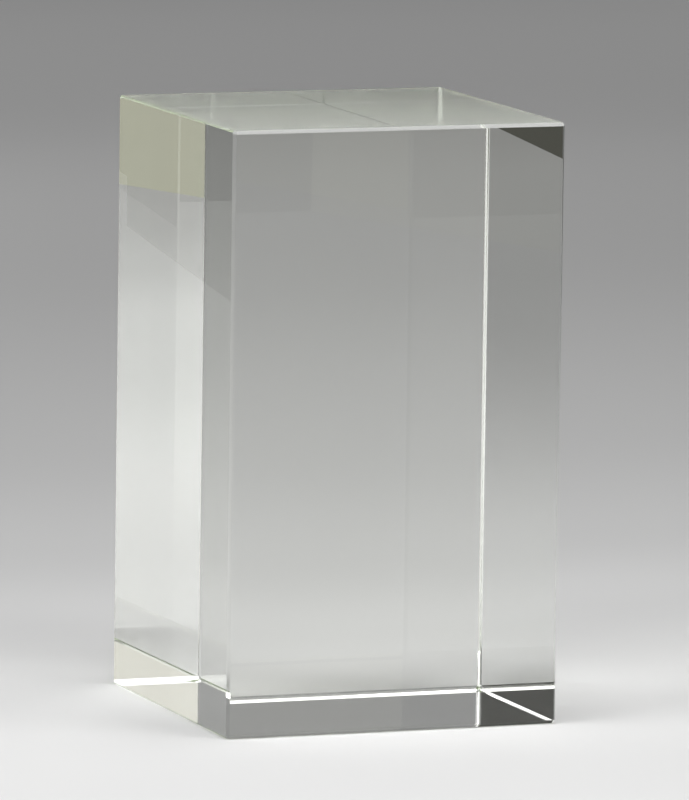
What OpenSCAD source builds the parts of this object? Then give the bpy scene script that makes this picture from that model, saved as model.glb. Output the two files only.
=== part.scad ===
// Crystal photo block: one solid bar of optical crystal, ground and polished on all six sides.
// Every edge has a narrow flat bevel, and every corner a small flat facet.
// Millimetres, +Z up. The origin is the centre of the base, and the front face looks along -Y.

/* [Block] */
// Width of the block, across the front face
block_w = 50; // [30:0.5:100]
// Depth of the block, from the front face to the back face
block_d = 50; // [30:0.5:100]
// Height of the block, from the face that it stands on to the top face
block_h = 86.5; // [40:0.5:200]

/* [Polished edges] */
// How far each upright bevel reaches into the front or the back face
upright_bevel_x = 0.4; // [0.2:0.05:3]
// How far each upright bevel reaches into a side face
upright_bevel_y = 0.55; // [0.2:0.05:3]
// How far the bevels along the front and back edges of the top and the base reach into the top or the base
front_rim_y = 0.4; // [0.2:0.05:3]
// How far they reach along the front or the back face
front_rim_z = 0.5; // [0.2:0.05:3]
// How far the bevels along the side edges of the top and the base reach into the top or the base
side_rim_x = 0.2; // [0.1:0.05:3]
// How far they reach along a side face
side_rim_z = 0.25; // [0.1:0.05:3]
// How deep each corner facet lies below the point where its three bevels would meet
corner_facet = 0.2; // [0.05:0.05:2]

/* [Hidden] */

// Clear, with the faint yellow-green that thick crystal shows.
crystal_colour = [0.90, 0.94, 0.89, 0.35];

// The line out through a corner makes the same angle with each of the three edges that meet there.
corner_lean = acos(1 / sqrt(3));
// Three bevels would meet at one point. How far it lies inside the side face:
meeting_x = (upright_bevel_y / front_rim_y + side_rim_z / front_rim_z - 1)
    / (upright_bevel_y / (upright_bevel_x * front_rim_y) + side_rim_z / (side_rim_x * front_rim_z));
// How far it lies inside the front or the back face
meeting_y = upright_bevel_y * (1 - meeting_x / upright_bevel_x);
// How far it lies inside the top or the base
meeting_z = side_rim_z * (1 - meeting_x / side_rim_x);
// The level through that point, measured inwards from the sharp corner along the same line.
bevel_meeting = (meeting_x + meeting_y + meeting_z) / sqrt(3);
// The facet's own distance inside the sharp corner.
corner_depth = bevel_meeting + corner_facet;

// A rectangle with its four corners cut off, centred on the origin.
// Each cut reaches reach_x and reach_y along the sides that it joins.
module bevelled_rectangle(size_x, size_y, reach_x, reach_y) {
    half_x = size_x / 2;
    half_y = size_y / 2;
    polygon([
        [half_x - reach_x, -half_y],
        [half_x, -half_y + reach_y],
        [half_x, half_y - reach_y],
        [half_x - reach_x, half_y],
        [-half_x + reach_x, half_y],
        [-half_x, half_y - reach_y],
        [-half_x, -half_y + reach_y],
        [-half_x + reach_x, -half_y]
    ]);
}

// A straight bar along Z with bevels along its four long edges, centred on the origin.
module bevelled_bar(size_x, size_y, length, reach_x, reach_y) {
    linear_extrude(length, center = true)
        bevelled_rectangle(size_x, size_y, reach_x, reach_y);
}

// The block with its twelve edges bevelled: one bar for each direction that its edges run in.
module bevelled_block() {
    intersection() {
        bevelled_bar(block_w, block_d, block_h, upright_bevel_x, upright_bevel_y);
        rotate([90, 0, 0]) bevelled_bar(block_w, block_h, block_d, side_rim_x, side_rim_z);
        rotate([90, 0, 90]) bevelled_bar(block_d, block_h, block_w, front_rim_y, front_rim_z);
    }
}

// What is ground off the corner where the right, back and top faces would meet.
module corner_waste() {
    waste = 6 * corner_depth;
    translate([block_w / 2, block_d / 2, block_h / 2])
        rotate([0, corner_lean, 45])
        translate([-waste / 2, -waste / 2, -corner_depth])
        cube(waste);
}

// The same at all eight corners.
module all_corner_waste() {
    for (flip_x = [0, 1], flip_y = [0, 1], flip_z = [0, 1])
        mirror([flip_x, 0, 0]) mirror([0, flip_y, 0]) mirror([0, 0, flip_z])
            corner_waste();
}

// The whole object: the block, lifted to stand on its base.
module crystal_block() {
    color(crystal_colour)
        translate([0, 0, block_h / 2])
        difference() {
            bevelled_block();
            all_corner_waste();
        }
}

crystal_block();
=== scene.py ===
"""A crystal photo block on a pale floor in soft studio light, seen from the photograph's viewing angle.

Metres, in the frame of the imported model: +Z up, the base's centre at the origin, the front face towards -Y.
"""
from math import cos, pi, radians, sin, sqrt

import bmesh
import bpy
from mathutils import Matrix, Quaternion, Vector

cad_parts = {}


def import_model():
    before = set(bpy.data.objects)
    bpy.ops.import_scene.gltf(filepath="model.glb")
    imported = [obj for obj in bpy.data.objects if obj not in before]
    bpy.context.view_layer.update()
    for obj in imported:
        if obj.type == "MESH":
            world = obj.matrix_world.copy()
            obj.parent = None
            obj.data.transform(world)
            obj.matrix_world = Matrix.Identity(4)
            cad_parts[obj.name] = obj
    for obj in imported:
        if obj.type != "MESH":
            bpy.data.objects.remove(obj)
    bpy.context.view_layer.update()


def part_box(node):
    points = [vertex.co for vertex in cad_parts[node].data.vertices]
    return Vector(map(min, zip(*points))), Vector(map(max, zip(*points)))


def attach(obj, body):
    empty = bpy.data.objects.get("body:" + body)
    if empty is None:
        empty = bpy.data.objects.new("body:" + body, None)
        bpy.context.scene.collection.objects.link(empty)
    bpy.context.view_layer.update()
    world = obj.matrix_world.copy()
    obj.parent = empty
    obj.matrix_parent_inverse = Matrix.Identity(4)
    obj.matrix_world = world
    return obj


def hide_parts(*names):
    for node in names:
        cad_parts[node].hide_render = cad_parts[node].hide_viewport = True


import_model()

MM = 0.001

# The block's own sizes, which are those of the solid model. A bevel's size is named after the edges that it
# runs along and the axis along which it reaches into a face.
BLOCK_LOW, BLOCK_HIGH = (Vector(corner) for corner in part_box("crystal_block"))
UPRIGHT_BEVEL_X = 0.4 * MM
UPRIGHT_BEVEL_Y = 0.55 * MM
FRONT_RIM_Y = 0.4 * MM
FRONT_RIM_Z = 0.5 * MM
SIDE_RIM_X = 0.2 * MM
SIDE_RIM_Z = 0.25 * MM
CORNER_FACET = 0.2 * MM
# Each bevel is taken to be slightly crowned: it turns this far to each side of flat, in this many strips.
BEVEL_CROWN = radians(5)
BEVEL_STRIPS = 9
# A point this close to a grinding plane counts as lying on it.
GRIND_TOLERANCE = 1e-8
# A face runs along an axis if its normal's part on that axis is smaller than this.
LEVEL_NORMAL = 0.01

# Optical crystal: how strongly it bends light, and the colour and the strength of its tint
CRYSTAL_IOR = 1.545
CRYSTAL_TINT = (0.82, 0.97, 0.58)
CRYSTAL_DENSITY = 1.25
# The bevels are less finely polished than the faces: their roughness lies between these, in fine patches.
BEVEL_FINISH = (0.02, 0.07)
PATCHES_PER_METRE = 900
PATCH_DETAIL = 3.0
# The stretch of the noise that is spread over that roughness
PATCH_RANGE = (0.3, 0.7)
# On a bevel or a corner facet, even the largest part of the normal is smaller than this.
STRAIGHT_NORMAL = 0.97

# The camera of the photograph: its place, where it points in degrees, and its lens in millimetres
CAMERA_PLACE = Vector((-473.0, -1281.3, 231.6)) * MM
CAMERA_YAW = 20.313
CAMERA_PITCH = 7.809
CAMERA_ROLL = 0.787
CAMERA_LENS = 430.4

# The floor lies just below the block's base.
FLOOR_GAP = 0.1 * MM
FLOOR_RADIUS = 8.0
FLOOR_SEGMENTS = 96
# The middle of a pool of light painted into the floor's grey, in front of the block on the left
PAINTED_LIGHT_SPOT = Vector((-80, -190, 0)) * MM
# That spot is drawn out sideways: a step across it counts as this share of a step in depth.
SPOT_SHARE = 0.35
# Distance from that spot, and the floor's grey there, with the lamps' falloff painted in: it deepens at
# first, and is lighter again far away.
PAINTED_FLOOR_LIGHT = [
    (0.0, 0.925),
    (0.13, 0.762),
    (0.2, 0.76),
    (0.275, 0.63),
    (0.34, 0.558),
    (0.45, 0.512),
    (0.65, 0.49),
    (0.9, 0.58),
    (1.2, 0.71),
    (3.0, 0.60),
]
# A soft patch of painted shade on the floor, behind on the left: its middle, its half width, the half width
# of its evenly shaded core, its length in widths, and the share of the grey that is left there
PAINTED_SHADE_SPOT = Vector((-165, 510, 0)) * MM
PAINTED_SHADE_RADIUS = 260 * MM
PAINTED_SHADE_CORE = PAINTED_SHADE_RADIUS / 4
PAINTED_SHADE_LENGTH = 1.8
PAINTED_SHADE_SHARE = 0.66

# A dark card of painted shade stands behind on the left, for the unlit surroundings that the crystal shows
# there: the points that its foot runs through, its height and its colour
SHADE_CARD_LINE = [(-0.165, 0.29), (-0.2105, 0.56), (-0.2385, 0.635), (-0.50, 2.5)]
SHADE_CARD_HEIGHT = 0.28
SHADE_CARD_COLOUR = (0.045, 0.045, 0.04)
# Two tables lie in front, just above the floor: how high, how far they reach, and their colours
TABLE_LIFT = 0.5 * MM
TABLE_REACH = 3.0
BEIGE_COLOUR = (0.58, 0.58, 0.47)
DARK_COLOUR = (0.13, 0.13, 0.12)
# The beige table on the right: where its back edge starts, and the two ends of its seam with the dark table
BEIGE_BACK = (0.243, -0.50)
SEAM_BACK = (0.205, -0.622)
SEAM_FRONT = (1.08, -TABLE_REACH)
# The dark table has a gap in it: where the gap's right side lies, and the two ends of its left side
GAP_RIGHT = 0.0
GAP_LEFT_BACK = (-0.1, -0.543)
GAP_LEFT_FRONT = (-0.334, -TABLE_REACH)

# The point that every lamp faces
LAMP_TARGET = (0, 0, 0.04)
WHITE = (1, 1, 1)
WARM_WHITE = (1.0, 0.975, 0.84)

# Height of a direction, from level to straight up, and the grey of the room there. Low down it has a narrow
# dark line, with a lighter band above it. The line's stops lie on whole steps of the ramp, 1/255 apart.
ROOM_GREYS = [
    (0.0, 0.22),
    (0.098, 0.20),
    (0.102, 0.03),
    (0.1059, 0.31),
    (0.1098, 0.46),
    (0.16, 0.258),
    (0.33, 0.235),
    (1.0, 0.12),
]
# The even grey that lights matt surfaces
AMBIENT_GREY = 0.17
# Light with fewer matt bounces than this has had none.
HALF_BOUNCE = 0.5


def new_object(name, data):
    """An object of the scene that holds the given mesh, light or camera."""
    thing = bpy.data.objects.new(name, data)
    bpy.context.scene.collection.objects.link(thing)
    return thing


def new_material(name):
    """An empty node material, with its output node."""
    material = bpy.data.materials.new(name)
    material.use_nodes = True
    tree = material.node_tree
    tree.nodes.clear()
    return material, tree, tree.nodes.new("ShaderNodeOutputMaterial")


def math_node(tree, operation, second=None):
    """A node that works on numbers. A fixed second number can be given."""
    node = tree.nodes.new("ShaderNodeMath")
    node.operation = operation
    if second is not None:
        node.inputs[1].default_value = second
    return node


def vector_node(tree, operation):
    """A node that works on vectors."""
    node = tree.nodes.new("ShaderNodeVectorMath")
    node.operation = operation
    return node


def grey_ramp(tree, greys):
    """A ramp through the given greys: pairs of a place from 0 to 1 and the grey there."""
    ramp = tree.nodes.new("ShaderNodeValToRGB")
    stops = ramp.color_ramp.elements
    while len(stops) < len(greys):
        stops.new(position=0.5)
    for stop, (place, grey) in zip(stops, greys):
        stop.position = place
        stop.color = (grey, grey, grey, 1)
    return ramp


def patchy_finish(tree):
    """A roughness that changes in fine patches."""
    place = tree.nodes.new("ShaderNodeTexCoord")
    patches = tree.nodes.new("ShaderNodeTexNoise")
    patches.inputs["Scale"].default_value = PATCHES_PER_METRE
    patches.inputs["Detail"].default_value = PATCH_DETAIL
    finish = tree.nodes.new("ShaderNodeMapRange")
    finish.inputs["From Min"].default_value = PATCH_RANGE[0]
    finish.inputs["From Max"].default_value = PATCH_RANGE[1]
    finish.inputs["To Min"].default_value = BEVEL_FINISH[0]
    finish.inputs["To Max"].default_value = BEVEL_FINISH[1]
    tree.links.new(place.outputs["Object"], patches.inputs["Vector"])
    tree.links.new(patches.outputs["Fac"], finish.inputs["Value"])
    return finish.outputs["Result"]


def bevel_mask(tree):
    """1 on the bevels and the corner facets, and 0 on the six faces."""
    surface = tree.nodes.new("ShaderNodeNewGeometry")
    sizes = vector_node(tree, "ABSOLUTE")
    parts = tree.nodes.new("ShaderNodeSeparateXYZ")
    level_part = math_node(tree, "MAXIMUM")
    largest_part = math_node(tree, "MAXIMUM")
    bevelled = math_node(tree, "LESS_THAN", STRAIGHT_NORMAL)
    tree.links.new(surface.outputs["True Normal"], sizes.inputs[0])
    tree.links.new(sizes.outputs["Vector"], parts.inputs["Vector"])
    tree.links.new(parts.outputs["X"], level_part.inputs[0])
    tree.links.new(parts.outputs["Y"], level_part.inputs[1])
    tree.links.new(level_part.outputs["Value"], largest_part.inputs[0])
    tree.links.new(parts.outputs["Z"], largest_part.inputs[1])
    tree.links.new(largest_part.outputs["Value"], bevelled.inputs[0])
    return bevelled.outputs["Value"]


def crystal_material():
    """Clear crystal that tints light on long paths, with bright faces and slightly rougher bevels."""
    material, tree, output = new_material("polished_crystal")
    roughness = math_node(tree, "MULTIPLY")
    shader = tree.nodes.new("ShaderNodeBsdfPrincipled")
    shader.inputs["Base Color"].default_value = (*WHITE, 1)
    shader.inputs["IOR"].default_value = CRYSTAL_IOR
    shader.inputs["Transmission Weight"].default_value = 1.0
    inside = tree.nodes.new("ShaderNodeVolumeAbsorption")
    inside.inputs["Color"].default_value = (*CRYSTAL_TINT, 1)
    inside.inputs["Density"].default_value = CRYSTAL_DENSITY
    tree.links.new(patchy_finish(tree), roughness.inputs[0])
    tree.links.new(bevel_mask(tree), roughness.inputs[1])
    tree.links.new(roughness.outputs["Value"], shader.inputs["Roughness"])
    tree.links.new(shader.outputs["BSDF"], output.inputs["Surface"])
    tree.links.new(inside.outputs["Volume"], output.inputs["Volume"])
    return material


def crowned_planes(edge, face_1, face_2, reach_1, reach_2):
    """The grinding planes of one bevel, each as a point and a normal.

    edge is a point of the sharp edge, face_1 and face_2 are the normals of the two faces that meet there,
    and reach_1 and reach_2 say how far the bevel reaches into each.
    """
    start = edge - face_2 * reach_1
    end = edge - face_1 * reach_2
    outward = (face_1 * reach_1 + face_2 * reach_2).normalized()
    across = (end - start).normalized()
    radius = (end - start).length / 2 / sin(BEVEL_CROWN)
    centre = (start + end) / 2 - outward * radius * cos(BEVEL_CROWN)
    for strip in range(BEVEL_STRIPS):
        turn = BEVEL_CROWN * (2 * strip / (BEVEL_STRIPS - 1) - 1)
        normal = outward * cos(turn) + across * sin(turn)
        yield centre + normal * radius, normal


def corner_depth():
    """How far a corner facet lies inside the sharp corner, on the line that leans the same to each edge.

    Three flat bevels would meet at one point, and the facet lies CORNER_FACET below it.
    """
    upright_share = UPRIGHT_BEVEL_Y / FRONT_RIM_Y
    side_share = SIDE_RIM_Z / FRONT_RIM_Z
    steepness = upright_share / UPRIGHT_BEVEL_X + side_share / SIDE_RIM_X
    meeting_x = (upright_share + side_share - 1) / steepness
    meeting_y = UPRIGHT_BEVEL_Y * (1 - meeting_x / UPRIGHT_BEVEL_X)
    meeting_z = SIDE_RIM_Z * (1 - meeting_x / SIDE_RIM_X)
    return (meeting_x + meeting_y + meeting_z) / sqrt(3) + CORNER_FACET


def block_planes():
    """All the grinding planes of the block: its twelve bevels, and then its eight corner facets."""
    middle = (BLOCK_LOW + BLOCK_HIGH) / 2
    half = (BLOCK_HIGH - BLOCK_LOW) / 2
    signs = (-1, 1)
    sides = [Vector((sign, 0, 0)) for sign in signs]
    fronts = [Vector((0, sign, 0)) for sign in signs]
    ends = [Vector((0, 0, sign)) for sign in signs]
    for front in fronts:
        for side in sides:
            edge = middle + half * (front + side)
            yield from crowned_planes(edge, front, side, UPRIGHT_BEVEL_X, UPRIGHT_BEVEL_Y)
    for end in ends:
        for front in fronts:
            edge = middle + half * (end + front)
            yield from crowned_planes(edge, front, end, FRONT_RIM_Z, FRONT_RIM_Y)
        for side in sides:
            edge = middle + half * (end + side)
            yield from crowned_planes(edge, side, end, SIDE_RIM_Z, SIDE_RIM_X)
    depth = corner_depth()
    for front in fronts:
        for side in sides:
            for end in ends:
                outward = front + side + end
                normal = outward.normalized()
                yield middle + half * outward - normal * depth, normal


def grind(form, point, normal):
    """Takes off what lies in front of a plane, and closes the form there with one flat face."""
    cut = bmesh.ops.bisect_plane(
        form,
        geom=form.verts[:] + form.edges[:] + form.faces[:],
        dist=GRIND_TOLERANCE,
        plane_co=point,
        plane_no=normal,
        clear_outer=True,
    )
    rim = [part for part in cut["geom_cut"] if isinstance(part, bmesh.types.BMEdge)]
    bmesh.ops.contextual_create(form, geom=rim)


def bevel_axis(face):
    """The axis that a bevel's strip runs along, or None for a large face or a corner facet."""
    along = [axis for axis in range(3) if abs(face.normal[axis]) < LEVEL_NORMAL]
    return along[0] if len(along) == 1 else None


def crystal_block():
    """The block with slightly crowned bevels, in place of the solid model's flat ones."""
    mesh = bpy.data.meshes.new("crystal_block_polished")
    form = bmesh.new()
    bmesh.ops.create_cube(form, size=1.0)
    size = BLOCK_HIGH - BLOCK_LOW
    middle = (BLOCK_HIGH + BLOCK_LOW) / 2
    for vert in form.verts:
        vert.co = middle + vert.co * size
    for point, normal in block_planes():
        grind(form, point, normal)
    bmesh.ops.recalc_face_normals(form, faces=form.faces[:])
    for face in form.faces:
        face.smooth = bevel_axis(face) is not None
    for edge in form.edges:
        one_side, other_side = edge.link_faces
        edge.smooth = bevel_axis(one_side) == bevel_axis(other_side)
    form.to_mesh(mesh)
    form.free()
    piece = new_object("crystal_block_polished", mesh)
    mesh.materials.append(crystal_material())
    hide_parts("crystal_block")
    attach(piece, "root")


def distance_from(tree, spot, stretch):
    """Distance on the floor from a spot that is drawn out by stretch along each axis."""
    place = tree.nodes.new("ShaderNodeTexCoord")
    around = tree.nodes.new("ShaderNodeMapping")
    around.vector_type = "TEXTURE"
    around.inputs["Location"].default_value = spot
    around.inputs["Scale"].default_value = stretch
    distance = vector_node(tree, "LENGTH")
    tree.links.new(place.outputs["Object"], around.inputs["Vector"])
    tree.links.new(around.outputs["Vector"], distance.inputs[0])
    return distance.outputs["Value"]


def floor_material():
    """Pale paper with a painted pool of light: its grey goes by the distance from the pool's middle, with one
    patch of painted shade.
    """
    material, tree, output = new_material("studio_floor")
    # Painted light: the floor's grey falls off with distance from the middle of a painted pool of light.
    farthest = PAINTED_FLOOR_LIGHT[-1][0]
    share = math_node(tree, "DIVIDE", farthest)
    ramp = grey_ramp(tree, [(distance / farthest, grey) for distance, grey in PAINTED_FLOOR_LIGHT])
    ramp.color_ramp.interpolation = "EASE"
    # Painted shade: a soft dark patch behind on the left, laid over the floor's grey.
    shade_patch_mix = tree.nodes.new("ShaderNodeMapRange")
    shade_patch_mix.interpolation_type = "SMOOTHSTEP"
    shade_patch_mix.inputs["From Min"].default_value = PAINTED_SHADE_CORE
    shade_patch_mix.inputs["From Max"].default_value = PAINTED_SHADE_RADIUS
    shade_patch_mix.inputs["To Min"].default_value = PAINTED_SHADE_SHARE
    painted = vector_node(tree, "SCALE")
    shader = tree.nodes.new("ShaderNodeBsdfDiffuse")
    tree.links.new(distance_from(tree, PAINTED_LIGHT_SPOT, (1 / SPOT_SHARE, 1, 1)), share.inputs[0])
    tree.links.new(share.outputs["Value"], ramp.inputs["Fac"])
    tree.links.new(distance_from(tree, PAINTED_SHADE_SPOT, (1, PAINTED_SHADE_LENGTH, 1)), shade_patch_mix.inputs["Value"])
    tree.links.new(ramp.outputs["Color"], painted.inputs[0])
    tree.links.new(shade_patch_mix.outputs["Result"], painted.inputs["Scale"])
    tree.links.new(painted.outputs["Vector"], shader.inputs["Color"])
    tree.links.new(shader.outputs["BSDF"], output.inputs["Surface"])
    return material


def floor():
    """A round floor that reaches far past the view."""
    form = bmesh.new()
    bmesh.ops.create_circle(form, cap_ends=True, radius=FLOOR_RADIUS, segments=FLOOR_SEGMENTS)
    mesh = bpy.data.meshes.new("studio_floor")
    form.to_mesh(mesh)
    form.free()
    mesh.materials.append(floor_material())
    thing = new_object("studio_floor", mesh)
    thing.location.z = -FLOOR_GAP


def card_material(name, colour):
    """The material of a card, which glows evenly in one colour instead of being lit."""
    material, tree, output = new_material(name)
    shader = tree.nodes.new("ShaderNodeEmission")
    shader.inputs["Color"].default_value = (*colour, 1)
    shader.inputs["Strength"].default_value = 1.0
    tree.links.new(shader.outputs["Emission"], output.inputs["Surface"])
    return material


def studio_card(name, corners, colour):
    """A flat card that shows in the crystal but not in the view, and casts no shadow."""
    mesh = bpy.data.meshes.new(name)
    mesh.from_pydata(corners, [], [list(range(len(corners)))])
    mesh.materials.append(card_material(name, colour))
    card = new_object(name, mesh)
    card.visible_camera = False
    card.visible_diffuse = False
    card.visible_shadow = False


def table_card(name, outline, colour):
    """A card that lies just above the floor."""
    studio_card(name, [(*point, TABLE_LIFT) for point in outline], colour)


def cards():
    """What the crystal mirrors at its sides: behind on the left a dark card of painted shade, for the unlit
    surroundings there, and in front a beige and a dark table.
    """
    # Painted shade: dark cards that stand for the unlit surroundings behind on the left.
    for near, far in zip(SHADE_CARD_LINE, SHADE_CARD_LINE[1:]):
        studio_card(
            "painted_shade_card",
            [(*near, 0), (*far, 0), (*far, SHADE_CARD_HEIGHT), (*near, SHADE_CARD_HEIGHT)],
            SHADE_CARD_COLOUR,
        )
    table_card(
        "beige_table",
        [BEIGE_BACK, SEAM_BACK, SEAM_FRONT, (TABLE_REACH, -TABLE_REACH), (TABLE_REACH, BEIGE_BACK[1])],
        BEIGE_COLOUR,
    )
    table_card(
        "dark_table",
        [SEAM_BACK, (GAP_RIGHT, SEAM_BACK[1]), (GAP_RIGHT, -TABLE_REACH), SEAM_FRONT],
        DARK_COLOUR,
    )
    table_card(
        "dark_table",
        [(-TABLE_REACH, -TABLE_REACH), GAP_LEFT_FRONT, GAP_LEFT_BACK, (-TABLE_REACH, GAP_LEFT_BACK[1])],
        DARK_COLOUR,
    )


def softbox(name, place, width, height, radiance, colour=WHITE):
    """A soft light that faces the block, with the same brightness all over."""
    light = bpy.data.lights.new(name, "AREA")
    light.shape = "RECTANGLE"
    light.size = width
    light.size_y = height
    light.color = colour
    light.energy = radiance * pi * width * height
    thing = new_object(name, light)
    thing.location = place
    thing.rotation_euler = (Vector(LAMP_TARGET) - Vector(place)).to_track_quat("-Z", "Y").to_euler()
    thing.visible_camera = False


def lights():
    """Soft lamps above the block, on both sides of it, in front and behind."""
    softbox("top_light", place=(0.0, -0.28, 0.95), width=1.1, height=0.70, radiance=1.5)
    softbox("overhead_light", place=(-0.02, -0.13, 0.95), width=0.3, height=0.4, radiance=7.0)
    softbox("right_light", place=(0.695, -0.695, 0.688), width=0.6, height=0.5, radiance=2.4)
    softbox("front_left_light", place=(-0.935, -0.304, 0.688), width=0.6, height=0.5, radiance=4.5)
    softbox(
        "key_light", place=(0.42, -1.15, 0.42), width=0.8, height=0.8, radiance=0.61, colour=WARM_WHITE
    )
    softbox("left_light", place=(-1.05, -0.32, 0.26), width=0.5, height=0.4, radiance=0.95)
    softbox("low_left_light", place=(-1.1, 0.0, 0.232), width=0.40, height=0.08, radiance=1.4)
    softbox("back_light", place=(-0.113, 0.70, 0.185), width=0.20, height=0.19, radiance=1.2)
    softbox("back_fill", place=(-0.113, 0.71, 0.36), width=0.24, height=0.16, radiance=0.7)


def world():
    """The room's greys for the view and the crystal, and one even grey as fill light for the floor."""
    room = bpy.data.worlds.new("studio")
    bpy.context.scene.world = room
    room.use_nodes = True
    tree = room.node_tree
    tree.nodes.clear()
    output = tree.nodes.new("ShaderNodeOutputWorld")
    direction = tree.nodes.new("ShaderNodeTexCoord")
    parts = tree.nodes.new("ShaderNodeSeparateXYZ")
    seen = grey_ramp(tree, ROOM_GREYS)
    path = tree.nodes.new("ShaderNodeLightPath")
    straight = math_node(tree, "LESS_THAN", HALF_BOUNCE)
    level = tree.nodes.new("ShaderNodeMix")
    level.inputs["A"].default_value = AMBIENT_GREY
    shine = tree.nodes.new("ShaderNodeBackground")
    tree.links.new(direction.outputs["Generated"], parts.inputs["Vector"])
    tree.links.new(parts.outputs["Z"], seen.inputs["Fac"])
    tree.links.new(path.outputs["Diffuse Depth"], straight.inputs[0])
    tree.links.new(straight.outputs["Value"], level.inputs["Factor"])
    tree.links.new(seen.outputs["Color"], level.inputs["B"])
    tree.links.new(level.outputs["Result"], shine.inputs["Color"])
    tree.links.new(shine.outputs["Background"], output.inputs["Surface"])


def camera():
    """The photograph's camera."""
    lens = bpy.data.cameras.new("camera")
    lens.lens = CAMERA_LENS
    thing = new_object("camera", lens)
    thing.location = CAMERA_PLACE
    ahead = Vector((0, 1, 0))
    ahead.rotate(Quaternion((1, 0, 0), radians(-CAMERA_PITCH)))
    ahead.rotate(Quaternion((0, 0, 1), radians(-CAMERA_YAW)))
    level = ahead.to_track_quat("-Z", "Y")
    thing.rotation_mode = "QUATERNION"
    thing.rotation_quaternion = level @ Quaternion((0, 0, 1), radians(CAMERA_ROLL))
    bpy.context.scene.camera = thing


def bounces():
    """Enough bounces for light that runs round inside the crystal, and sharp light through it."""
    cycles = bpy.context.scene.cycles
    cycles.max_bounces = 96
    cycles.glossy_bounces = 80
    cycles.transmission_bounces = 24
    cycles.blur_glossy = 0.0


camera()
crystal_block()
floor()
cards()
lights()
world()
bounces()
bpy.context.scene.view_settings.view_transform = "Standard"
